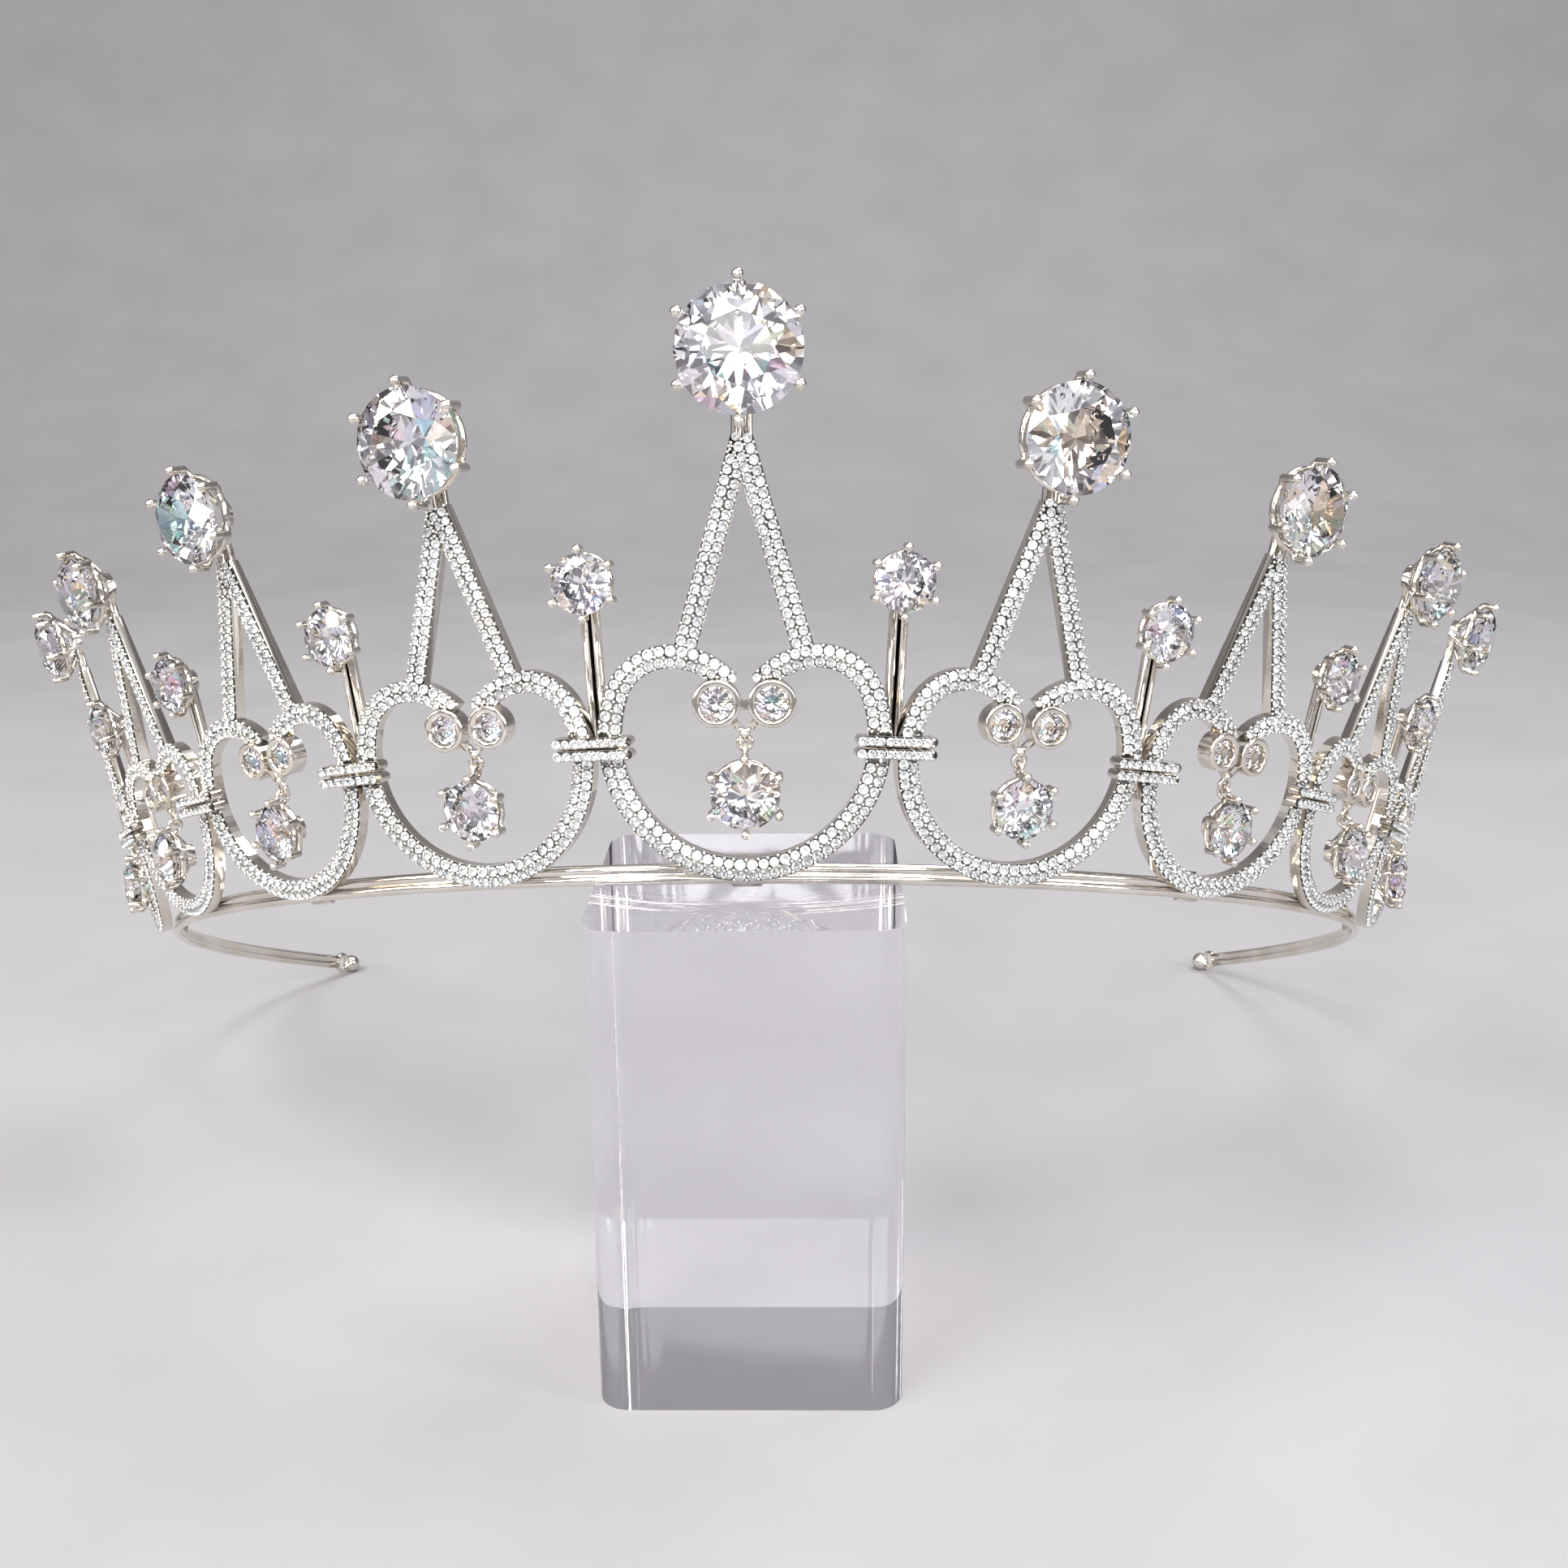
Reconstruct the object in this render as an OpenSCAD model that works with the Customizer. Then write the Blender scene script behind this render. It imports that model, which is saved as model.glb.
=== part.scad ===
// Bridal crown of nine graduated hoop motifs, leaning on its clear display block.
// Millimetres, +Z up, the front faces -Y. The floor is z = 0 and the origin is the middle of the
// block's foot. A motif's own frame has x along its width, y up its leaning face, z out of it.

/* [Crown] */
// Outer radius of the open base ring, at the back of the motifs
base_r = 80; // [65:0.5:95]
// Lean of every motif away from the crown's axis, degrees
flare = 20; // [0:1:35]
// Backward tilt of the whole crown as it rests on the block, degrees
tilt = 25.5; // [20:0.5:32]
// Front of the crown behind the front edge of the block
set_back = 10; // [4:0.5:16]

/* [Motifs] */
// Outer half width of the middle motif's hoop
hoop_half = 13.9; // [10:0.1:18]
// Width of the middle motif's hoop tube
hoop_w = 2.3; // [1.6:0.1:3]
// Depth of hoops and legs from face to back
metal_t = 1.2; // [1:0.1:2]
// Width of the legs over the middle hoop
leg_w = 2.15; // [1.4:0.05:3]
// Distance between the bezel centre and the motif's centre line
bezel_u = 2.62; // [2.4:0.02:3.2]
// Outer radius of the middle motif's bezels
bezel_r = 2.3; // [1.8:0.05:2.6]

/* [Base ring] */
// Radius of each of the two wires of the base ring
band_wire = 0.53; // [0.4:0.01:0.9]
// Radius of the ball on each end
tip_ball = 1.35; // [0.8:0.05:2]
// Radius of the eyelet's circle before each end ball
eyelet_r = 1.15; // [0.8:0.05:1.6]

/* [Stems and tie bars] */
// Radius of each of the two wires of a stem
stem_wire = 0.5; // [0.35:0.01:0.8]
// Diameter of the round stone on each stem
top_d = 5.7; // [4:0.1:7]
// Length of the tie bar across the front of each pair of neighbouring hoops
tie_len = 7.8; // [6.8:0.1:9]
// Height of the tie bar
tie_h = 2.2; // [1.6:0.1:3]

/* [Drops] */
// Diameter of the middle drop's stone
drop_d = 6.6; // [5:0.1:8]
// Diameter of the other drops' stones
side_drop_d = 6.0; // [4.5:0.1:7]

/* [Display block] */
// Side of the square block
block_w = 30; // [25:1:45]
// Height of the block
block_h = 50; // [45:1:60]
// Radius of its four upright corners
block_corner = 3; // [1:0.5:6]

/* [Hidden] */
$fn = 48;

// One column each for the middle motif and the first to the fourth beside it
motif_scale = [1.00, 0.92, 0.885, 0.85, 0.81];
stone_d = [11.6, 10.4, 9.0, 8.0, 7.6];
stone_v = [49.3, 43.1, 40.5, 38.5, 38.3];
apex_v = [41.7, 37.0, 35.5, 34.8, 34.2];
// One column for each stem outward from the middle
top_v = [28.5, 25.9, 24.9, 24.3];

// How far the tubes' width follows a motif's scale
width_share = 0.6;

// Running gaps: between neighbours, and between a seat and what sits on it
side_gap = 0.3;
seat_gap = 0.05;
block_gap = 0.1;
floor_gap = 0.01;

function sq(x) = x * x;
function width_of(k) = hoop_w * (1 - width_share * (1 - motif_scale[k]));
function half_of(k) = hoop_half * motif_scale[k];
// Neighbouring hoops come closest at their backs, at the height of their widest point
function touch_r(k) = base_r + half_of(k) * sin(flare) - metal_t / 2 * cos(flare);
function half_angle(k) = atan((half_of(k) + side_gap / 2) / touch_r(k));
function centre_angle(k) = k == 0 ? 0 : centre_angle(k - 1) + half_angle(k - 1) + half_angle(k);
function motif_angle(i) = sign(i) * centre_angle(abs(i));
function join_angle(j) = centre_angle(j) + half_angle(j);

// Where the crown stands: its ring's lower wire meets the side edges of the block's top
motif_lift = metal_t / 2 * sin(flare);
band_r = base_r - metal_t / 2 * cos(flare) - band_wire - seat_gap;
band_pitch = 1.9 * band_wire;
band_mid = band_wire + band_pitch / 2;
edge_r = sqrt(sq(band_r) - sq(block_w / 2));
crown_z = block_h + block_gap - edge_r * sin(tilt) + band_wire * (1 - cos(tilt));
crown_y = -block_w / 2 + set_back + base_r * cos(tilt);

// Square wire loops behind the ring, for pins
loop_w = 2.9;
loop_h = 3.15;
loop_low = -0.15;
loop_wire = 0.7;
loop_lap = 0.15;

// The ring's ends: the angle at which the end balls reach the floor
eyelet_wire = 0.42;
eyelet_x = eyelet_r + 0.15;
ball_x = eyelet_x + eyelet_r + tip_ball * 0.75;
ball_y = (crown_z + band_mid * cos(tilt) - tip_ball - floor_gap) / sin(tilt);
tip_angle = asin(ball_y / sqrt(sq(ball_x) + sq(band_r))) + atan(band_r / ball_x);

// Hoop outline: a big lower bowl, a tight shoulder and a wider inner arc that ends on the bezel
shoulder_turn = 18.9;
shoulder_r = 5.3;
inner_r = 7.3;
inner_end = 41;
// Each arc of the outline starts a little inside the one before, and is that much narrower
lap_turn = 3;
lap_step = 0.06;
foot_u = 5.8;
bezel_v = 17.2;

// Bezels: the rim above the hoop's face, the floor under the stone, wall and seat widths
bezel_rise = 0.75;
bezel_floor = 0.1;
bezel_wall = 0.65;
bezel_seat = 0.5;
bezel_girdle = 0.62;

// Hanger under the bezels, sizes of its bars, bridge, wires and rings
bridge_size = [1.2, 0.8, 1.1];
hanger_w = 0.7;
hanger_t = 0.6;
hanger_bead = 0.5;
hanger_rise = 0.85;
hook_v = 13.35;
hook_r = 0.62;
hook_wire = 0.25;
jump_r = 0.66;
jump_wire = 0.22;
jump_play = 0.06;
post_drop = 0.45;
post_out = 0.3;
post_wire = 0.27;

// Twin tube collar under each big stone
collar_wire = 0.53;
collar_apart = 0.5;
collar_lap = 1.4;

// Stem behind the hoops
stem_z = -1.35;
stem_apart = 0.46;
stem_lap = 0.9;
// Tie bar in front of them: its back at its middle and at its ends, its front, and the groove in it
tie_drop = 0.3;
tie_back = 0.75;
tie_end = 0.35;
tie_front = 1.65;
groove_w = 0.2;
groove_t = 0.25;
tie_row = (tie_h - groove_w) / 2;

// Round brilliant and its six claw setting, as shares of the stone's diameter
table_part = 0.28;
crown_part = 0.15;
girdle_part = 0.03;
culet_part = 0.40;
seat_part = 0.42;
foot_part = 0.215;
gallery_part = 0.2;
knee_part = 0.13;
claws = 6;
// Claws, as shares of the radius of their ball
claw_out = 0.8;
claw_wire = 0.8;
leg_wire = 0.78;
knee_out = 0.9;
knee_lap = 0.2;
ball_up = 0.7;
// Foot ring under the culet: below and above its seat, its wall, and how far a tube enters it
foot_low = 0.6;
foot_high = 0.25;
foot_wall = 0.7;
foot_lap = 0.35;

// Frames

module in_crown() {
    translate([0, crown_y, crown_z]) rotate([-tilt, 0, 0]) children();
}

module on_face(angle, radius) {
    in_crown() rotate([0, 0, angle]) translate([0, -radius, motif_lift])
        rotate([90 + flare, 0, 0]) children();
}

module on_motif(i) {
    on_face(motif_angle(i), base_r) children();
}

// Stems are counted -4 to -1 and 1 to 4 outward from the middle
function tie_v(j) = (half_of(j) + half_of(j + 1)) / 2 - tie_drop;
function join_r(j) = let (lean = tie_v(j) * sin(flare))
    (base_r + lean) / cos((half_angle(j) + half_angle(j + 1)) / 2) - lean;
module on_join(n) {
    on_face(sign(n) * join_angle(abs(n) - 1), join_r(abs(n) - 1)) children();
}

// Round brilliant: table up +z, the girdle's middle at z = 0

function ring(r, z, n, turn) =
    [for (i = [0 : n - 1]) let (a = turn + i * 360 / n) [r * cos(a), r * sin(a), z]];

module brilliant(d) {
    r = d / 2;
    top = girdle_part * d / 2;
    rise = crown_part * d;
    r_table = table_part * d;
    r_star = 0.5 * (r_table + r) + 0.01 * d;
    z_star = top + rise * (r - r_star * cos(22.5)) / (r - r_table);
    r_low = 0.22 * r;
    z_low = -top - culet_part * d * (1 - r_low * cos(22.5) / r);
    points = concat(
        ring(r_table, top + rise, 8, 0),
        ring(r_star, z_star, 8, 22.5),
        ring(r, top, 16, 0),
        ring(r, -top, 16, 0),
        ring(r_low, z_low, 8, 22.5),
        [[0, 0, -top - culet_part * d]]);
    star = 8;
    upper = 16;
    lower = 32;
    pavilion = 48;
    culet = 56;
    faces = concat(
        [[for (i = [7 : -1 : 0]) i]],
        [for (i = [0 : 7]) [i, (i + 1) % 8, star + i]],
        [for (i = [0 : 7]) [star + i, upper + 2 * i, i]],
        [for (i = [0 : 7]) [i, upper + 2 * i, star + (i + 7) % 8]],
        [for (i = [0 : 7]) [star + i, upper + 2 * i + 1, upper + 2 * i]],
        [for (i = [0 : 7]) [star + i, upper + (2 * i + 2) % 16, upper + 2 * i + 1]],
        [for (i = [0 : 15]) [upper + i, upper + (i + 1) % 16, lower + (i + 1) % 16]],
        [for (i = [0 : 15]) [upper + i, lower + (i + 1) % 16, lower + i]],
        [for (i = [0 : 7]) [lower + 2 * i, lower + 2 * i + 1, pavilion + i]],
        [for (i = [0 : 7]) [lower + 2 * i + 1, lower + (2 * i + 2) % 16, pavilion + i]],
        [for (i = [0 : 7]) [lower + 2 * i, pavilion + i, culet]],
        [for (i = [0 : 7]) [culet, pavilion + (i + 7) % 8, lower + 2 * i]]);
    polyhedron(points, faces);
}

// Six claw setting around a stone of diameter d, the girdle's middle at z = 0

function claw_r(d) = 0.3 + 0.022 * d;
function gallery_r(d) = 0.45 * d;

module rod(from, to, r) {
    along = to - from;
    length = norm(along);
    translate(from)
        rotate([0, acos(along[2] / length), atan2(along[1], along[0])])
            cylinder(h = length, r = r);
}

// A wire's section as a twelve sided outline around [out, up]
function wire_section(out, up, wire) =
    [for (i = [0 : 11]) let (a = 15 + i * 30) [out + wire * cos(a), up + wire * sin(a)]];

module torus(r, wire) {
    rotate_extrude() polygon(wire_section(r, 0, wire));
}

module claw(d) {
    r = claw_r(d);
    out = d / 2 + claw_out * r + seat_gap;
    tip = [out, 0, girdle_part * d / 2 + ball_up * r];
    knee = [d / 2 + knee_out * r + seat_gap, 0, -knee_part * d];
    rod([foot_part * d - foot_wall / 2, 0, -seat_part * d], knee, leg_wire * r);
    rod(knee - [0, 0, knee_lap * r], tip, claw_wire * r);
    translate(tip) sphere(r = r);
}

module setting(d) {
    for (i = [0 : claws - 1]) rotate([0, 0, 90 + i * 360 / claws]) claw(d);
    translate([0, 0, -gallery_part * d]) torus(gallery_r(d), 0.3 + 0.01 * d);
    difference() {
        translate([0, 0, -seat_part * d - foot_low]) cylinder(h = foot_low + foot_high, r = foot_part * d);
        translate([0, 0, -seat_part * d - 1]) cylinder(h = 2, r = foot_part * d - foot_wall);
    }
}

// Hoop and legs as one flat outline

module sector(r, w, from, to) {
    far = 3 * (r + w);
    intersection() {
        difference() {
            circle(r = r + w / 2);
            circle(r = r - w / 2);
        }
        polygon(concat([[0, 0]],
            [for (i = [0 : 8]) let (a = from + (to - from) * i / 8) far * [cos(a), sin(a)]]));
    }
}

module bar(from, to, w) {
    along = to - from;
    translate(from) rotate(atan2(along[1], along[0])) translate([0, -w / 2]) square([norm(along), w]);
}

module motif_outline(k) {
    s = motif_scale[k];
    w = width_of(k);
    bowl = half_of(k) - w / 2;
    shoulder = shoulder_r * s;
    reach = bowl - shoulder;
    shoulder_u = reach * cos(shoulder_turn);
    shoulder_v = half_of(k) + reach * sin(shoulder_turn);
    translate([0, half_of(k)]) sector(bowl, w, -180 - shoulder_turn, shoulder_turn);
    for (side = [0, 1]) mirror([side, 0]) {
        translate([shoulder_u, shoulder_v])
            sector(shoulder, w - lap_step, shoulder_turn - lap_turn, 90);
        translate([shoulder_u, shoulder_v + shoulder - inner_r * s])
            sector(inner_r * s, w - 2 * lap_step, 90 - lap_turn, 180 - inner_end);
        bar([foot_u * s, shoulder_v + shoulder - 0.15], [0, apex_v[k]], leg_w * w / hoop_w);
    }
}

module bezel_cups(k) {
    s = motif_scale[k];
    for (side = [-1, 1]) translate([side * bezel_u * s, bezel_v * s, -metal_t / 2])
        cylinder(h = metal_t + bezel_rise, r = bezel_r * s);
}

module bezel_bores(k) {
    s = motif_scale[k];
    for (side = [-1, 1]) translate([side * bezel_u * s, bezel_v * s, 0]) {
        translate([0, 0, bezel_floor]) cylinder(h = metal_t / 2 + bezel_rise, r = bezel_r * s - bezel_wall);
        translate([0, 0, -metal_t]) cylinder(h = 2 * metal_t, r = bezel_r * s - bezel_wall - bezel_seat);
    }
}

module hanger(k) {
    s = motif_scale[k];
    tip = [0, hook_v * s + hanger_rise];
    translate([0, (bezel_v - 0.2) * s, 0]) cube(bridge_size, center = true);
    translate([0, 0, -hanger_t / 2]) linear_extrude(height = hanger_t)
        for (side = [-1, 1]) {
            centre = [side * bezel_u * s, bezel_v * s];
            bar(centre + (bezel_r * s - bezel_wall / 2) * unit(tip - centre), tip, hanger_w);
        }
    translate([0, tip[1], 0]) sphere(r = hanger_bead);
    translate([0, hook_v * s, 0]) torus(hook_r, hook_wire);
}

module collar(k) {
    low = apex_v[k] - collar_lap;
    high = stone_v[k] - foot_part * stone_d[k] + foot_lap;
    for (side = [-1, 1]) translate([side * collar_apart, low, 0]) rotate([-90, 0, 0])
        cylinder(h = high - low, r = collar_wire);
}

module motif(i) {
    k = abs(i);
    color("silver") on_motif(i) {
        difference() {
            union() {
                translate([0, 0, -metal_t / 2]) linear_extrude(height = metal_t) motif_outline(k);
                bezel_cups(k);
            }
            bezel_bores(k);
        }
        hanger(k);
        collar(k);
        translate([0, stone_v[k], seat_part * stone_d[k]]) setting(stone_d[k]);
    }
}

module crown_stone(i) {
    k = abs(i);
    color("lightblue") on_motif(i) translate([0, stone_v[k], seat_part * stone_d[k]]) brilliant(stone_d[k]);
}

module bezel_stones() {
    color("lightblue") for (i = [-4 : 4]) on_motif(i) for (side = [-1, 1]) {
        s = motif_scale[abs(i)];
        d = 2 * (bezel_r * s - bezel_wall - seat_gap);
        translate([side * bezel_u * s, bezel_v * s, bezel_girdle]) brilliant(d);
    }
}

// Twin wire stem with its small claw setting

module stem(n) {
    j = abs(n) - 1;
    low = tie_v(j) - stem_lap;
    high = top_v[j] - foot_part * top_d + foot_lap;
    color("silver") on_join(n) {
        for (side = [-1, 1]) translate([side * stem_apart, low, stem_z]) rotate([-90, 0, 0])
            cylinder(h = high - low, r = stem_wire);
        translate([0, top_v[j], stem_z + seat_part * top_d]) setting(top_d);
    }
}

module top_stone(n) {
    color("lightblue") on_join(n)
        translate([0, top_v[abs(n) - 1], stem_z + seat_part * top_d]) brilliant(top_d);
}

// Tie bars: two rows with round ends and a groove between them, the back bent to both hoops

module round_row(v) {
    straight = tie_len - tie_row;
    translate([-straight / 2, v - tie_row / 2]) square([straight, tie_row]);
    for (side = [-1, 1]) translate([side * straight / 2, v]) circle(d = tie_row);
}

module tie_bar(v) {
    core = tie_len - 2 * tie_row;
    intersection() {
        union() {
            linear_extrude(height = tie_front)
                for (side = [-1, 1]) round_row(v + side * (tie_row + groove_w) / 2);
            translate([-core / 2, v - tie_row / 2, 0]) cube([core, tie_row, tie_front - groove_t]);
        }
        translate([0, v + tie_h, 0]) rotate([90, 0, 0]) linear_extrude(height = 2 * tie_h)
            polygon([
                [-tie_len, 2 * tie_front], [tie_len, 2 * tie_front],
                [tie_len / 2, tie_end], [0, tie_back], [-tie_len / 2, tie_end]]);
    }
}

module tie_bars() {
    color("silver") for (n = [-4 : 4]) if (n != 0) on_join(n) tie_bar(tie_v(abs(n) - 1));
}

// Drops hang plumb from the hooks, each facing straight out from its motif

function size_of(i) = i == 0 ? drop_d : side_drop_d;

// A direction or point of the crown's frame, turned back by the tilt
function tilted(p) = [p[0], p[1] * cos(tilt) + p[2] * sin(tilt), p[2] * cos(tilt) - p[1] * sin(tilt)];
function face_x(a) = [cos(a), sin(a), 0];
function face_y(a) = [sin(flare) * sin(a), -sin(flare) * cos(a), cos(flare)];
function down() = [0, sin(tilt), -cos(tilt)];
function unit(p) = p / norm(p);
// The lowest way in the plane of the hook's ring
function plumb(a) = unit((down() * face_x(a)) * face_x(a) + (down() * face_y(a)) * face_y(a));
function hook_at(i) = let (a = motif_angle(i))
    [base_r * sin(a), -base_r * cos(a), motif_lift] + hook_v * motif_scale[abs(i)] * face_y(a);
function jump_top(i) = hook_at(i) + (hook_r - hook_wire - jump_wire - jump_play) * plumb(motif_angle(i));
function jump_at(i) = tilted(jump_top(i)) + [0, crown_y, crown_z] - [0, 0, jump_r];

module on_drop(i) {
    a = motif_angle(i);
    translate(jump_at(i)) rotate([0, 0, atan2(sin(a), cos(a) * cos(tilt))]) rotate([90, 0, 0]) children();
}

module at_drop_centre(i) {
    d = size_of(i);
    on_drop(i) translate([0, -jump_r - post_drop - gallery_r(d), gallery_part * d + post_out]) children();
}

module drop(i) {
    color("silver") {
        on_drop(i) {
            rotate([0, 90, 0]) torus(jump_r, jump_wire);
            rod([0, -jump_r, 0], [0, -jump_r - post_drop, post_out], post_wire);
        }
        at_drop_centre(i) setting(size_of(i));
    }
}

module drop_stone(i) {
    color("lightblue") at_drop_centre(i) brilliant(size_of(i));
}

// Open base ring of two stacked wires, with pin loops behind it and an eyelet and ball on each end

module pin_loop() {
    inner_w = loop_w - 2 * loop_wire;
    inner_h = loop_h - 2 * loop_wire;
    rotate([90, 0, 0]) linear_extrude(height = loop_wire) difference() {
        translate([-loop_w / 2, loop_low]) square([loop_w, loop_h]);
        translate([-inner_w / 2, loop_low + loop_wire]) square([inner_w, inner_h]);
    }
}

module ring_end() {
    translate([eyelet_x, 0, band_mid]) rotate([90, 0, 0]) torus(eyelet_r, eyelet_wire);
    translate([ball_x, 0, band_mid]) sphere(r = tip_ball);
}

module base_band() {
    loop_r = band_r - band_wire - loop_wire + loop_lap;
    color("silver") in_crown() {
        rotate([0, 0, -90 - tip_angle]) rotate_extrude(angle = 2 * tip_angle) {
            polygon(wire_section(band_r, band_wire, band_wire));
            polygon(wire_section(band_r, band_wire + band_pitch, band_wire));
        }
        for (i = [-4, -2, 0, 2, 4]) rotate([0, 0, motif_angle(i)]) translate([0, -loop_r, 0]) pin_loop();
        for (side = [0, 1]) mirror([side, 0, 0])
            rotate([0, 0, tip_angle]) translate([0, -band_r, 0]) ring_end();
    }
}

module block() {
    inset = block_w / 2 - block_corner;
    color("lightgrey") linear_extrude(height = block_h) union() {
        square([block_w, 2 * inset], center = true);
        square([2 * inset, block_w], center = true);
        for (x = [-1, 1], y = [-1, 1]) translate([x * inset, y * inset]) circle(r = block_corner);
    }
}

block();
base_band();
motif(-4);  // motif_1
motif(-3);  // motif_2
motif(-2);  // motif_3
motif(-1);  // motif_4
motif(0);  // motif_5
motif(1);  // motif_6
motif(2);  // motif_7
motif(3);  // motif_8
motif(4);  // motif_9
stem(-4);  // stem_1
stem(-3);  // stem_2
stem(-2);  // stem_3
stem(-1);  // stem_4
stem(1);  // stem_5
stem(2);  // stem_6
stem(3);  // stem_7
stem(4);  // stem_8
tie_bars();
drop(-4);  // drop_1
drop(-3);  // drop_2
drop(-2);  // drop_3
drop(-1);  // drop_4
drop(0);  // drop_5
drop(1);  // drop_6
drop(2);  // drop_7
drop(3);  // drop_8
drop(4);  // drop_9
crown_stone(-4);  // crown_stone_1
crown_stone(-3);  // crown_stone_2
crown_stone(-2);  // crown_stone_3
crown_stone(-1);  // crown_stone_4
crown_stone(0);  // crown_stone_5
crown_stone(1);  // crown_stone_6
crown_stone(2);  // crown_stone_7
crown_stone(3);  // crown_stone_8
crown_stone(4);  // crown_stone_9
top_stone(-4);  // top_stone_1
top_stone(-3);  // top_stone_2
top_stone(-2);  // top_stone_3
top_stone(-1);  // top_stone_4
top_stone(1);  // top_stone_5
top_stone(2);  // top_stone_6
top_stone(3);  // top_stone_7
top_stone(4);  // top_stone_8
drop_stone(-4);  // drop_stone_1
drop_stone(-3);  // drop_stone_2
drop_stone(-2);  // drop_stone_3
drop_stone(-1);  // drop_stone_4
drop_stone(0);  // drop_stone_5
drop_stone(1);  // drop_stone_6
drop_stone(2);  // drop_stone_7
drop_stone(3);  // drop_stone_8
drop_stone(4);  // drop_stone_9
bezel_stones();
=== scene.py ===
"""Looks of the bridal crown on its clear display block: paving, metal, stones, light and camera."""
import math
import random

import bmesh
import bpy
import numpy as np
from mathutils import Matrix, Vector


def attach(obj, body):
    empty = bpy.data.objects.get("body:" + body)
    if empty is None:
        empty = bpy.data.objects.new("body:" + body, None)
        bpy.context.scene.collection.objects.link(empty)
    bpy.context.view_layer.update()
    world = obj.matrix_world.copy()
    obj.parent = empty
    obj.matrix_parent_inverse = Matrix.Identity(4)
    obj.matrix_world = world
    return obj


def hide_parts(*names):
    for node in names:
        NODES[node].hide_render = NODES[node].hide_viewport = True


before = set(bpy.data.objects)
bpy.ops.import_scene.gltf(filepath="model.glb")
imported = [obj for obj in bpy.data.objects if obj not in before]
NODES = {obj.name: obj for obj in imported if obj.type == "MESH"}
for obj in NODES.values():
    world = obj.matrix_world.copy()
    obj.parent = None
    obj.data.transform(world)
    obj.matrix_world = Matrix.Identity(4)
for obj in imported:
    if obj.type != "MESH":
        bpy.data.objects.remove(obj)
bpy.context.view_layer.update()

# Sizes of the part, in millimetres, as its source names them
MM = 0.001
BASE_R = 80.0
FLARE = math.radians(20)
TILT = math.radians(25.5)
SET_BACK = 10.0
HOOP_HALF = 13.9
HOOP_W = 2.3
WIDTH_SHARE = 0.6
METAL_T = 1.2
LEG_W = 2.15
BEZEL_U = 2.62
BEZEL_R = 2.3
BEZEL_V = 17.2
BEZEL_RISE = 0.75
BAND_WIRE = 0.53
BLOCK_W = 30.0
BLOCK_H = 50.0
MOTIF_SCALE = (1.00, 0.92, 0.885, 0.85, 0.81)
APEX_V = (41.7, 37.0, 35.5, 34.8, 34.2)
SIDE_GAP = 0.3
SEAT_GAP = 0.05
BLOCK_GAP = 0.1
SHOULDER_TURN = math.radians(18.9)
SHOULDER_R = 5.3
INNER_R = 7.3
INNER_END = math.radians(41)
FOOT_U = 5.8
FOOT_DROP = 0.15
TIE_DROP = 0.3
TIE_FRONT = 1.65
TIE_LEN = 7.8
TIE_H = 2.2
GROOVE_W = 0.2
TIE_ROW = (TIE_H - GROOVE_W) / 2

# Paving: a sunk tray with a thin rim, stones that stand proud of it on a low dome, beads between them
RIM = 0.05
TRAY_SLOPE = 0.03
TRAY_DEPTH = 0.45
STONE_GAP = 0.06
# Smallest stone of a row, as a share of its largest
UNEVEN = 0.84
FILL_RADII = (0.4, 0.31)
BEAD_R = 0.19
BEAD_MIN = 0.1
BEAD_LAP = 0.05
# Share of its own radius that a stone in a row must have free
ROW_ROOM = 0.96
# Degrees that the stones stand uneven, and how far a bead may be sunk
UNEVEN_TURN = 3
BEAD_SINK = 0.06
# Spacing of the points that gaps are looked for at, and of those that a line is measured by
GRID = 0.09
LINE_STEP = 0.05
# Steps along the bowl, the shoulder, the inner arc and the straight lines
BOWL_STEPS, SHOULDER_STEPS, INNER_STEPS, STRAIGHT_STEPS = 160, 60, 40, 60
# The dome: the girdles' height over the face on a strip's middle, and how fast it bends away
CREST = 0.32
DOME = 0.55
SEED = 7
# Places of the stems and tie bars, from left to right, and how far under a bar a stone isn't seen
JOINS = (-4, -3, -2, -1, 1, 2, 3, 4)
HIDDEN = 0.15

# Smooth copies: an edge of more degrees stays sharp, and the bezels' rims are rounded
SHARP = 35
RIM_ROUND = 0.22
RIM_STEPS = 4
RIM_EDGE = math.radians(60)
# How far apart, in metres, corners may lie that count as one, or a corner from a face's level
SAME_POINT = 2e-6
LEVEL_MARGIN = 2e-5
# From this share on, a normal counts as along a face's own and a radius as the largest
FACE_ON = 0.999


# Places of the motifs and stems


def width_of(k):
    return HOOP_W * (1 - WIDTH_SHARE * (1 - MOTIF_SCALE[k]))


def half_of(k):
    return HOOP_HALF * MOTIF_SCALE[k]


def half_angle(k):
    touch = BASE_R + half_of(k) * math.sin(FLARE) - METAL_T / 2 * math.cos(FLARE)
    return math.atan((half_of(k) + SIDE_GAP / 2) / touch)


def centre_angle(k):
    if k == 0:
        return 0.0
    return centre_angle(k - 1) + half_angle(k - 1) + half_angle(k)


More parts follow.
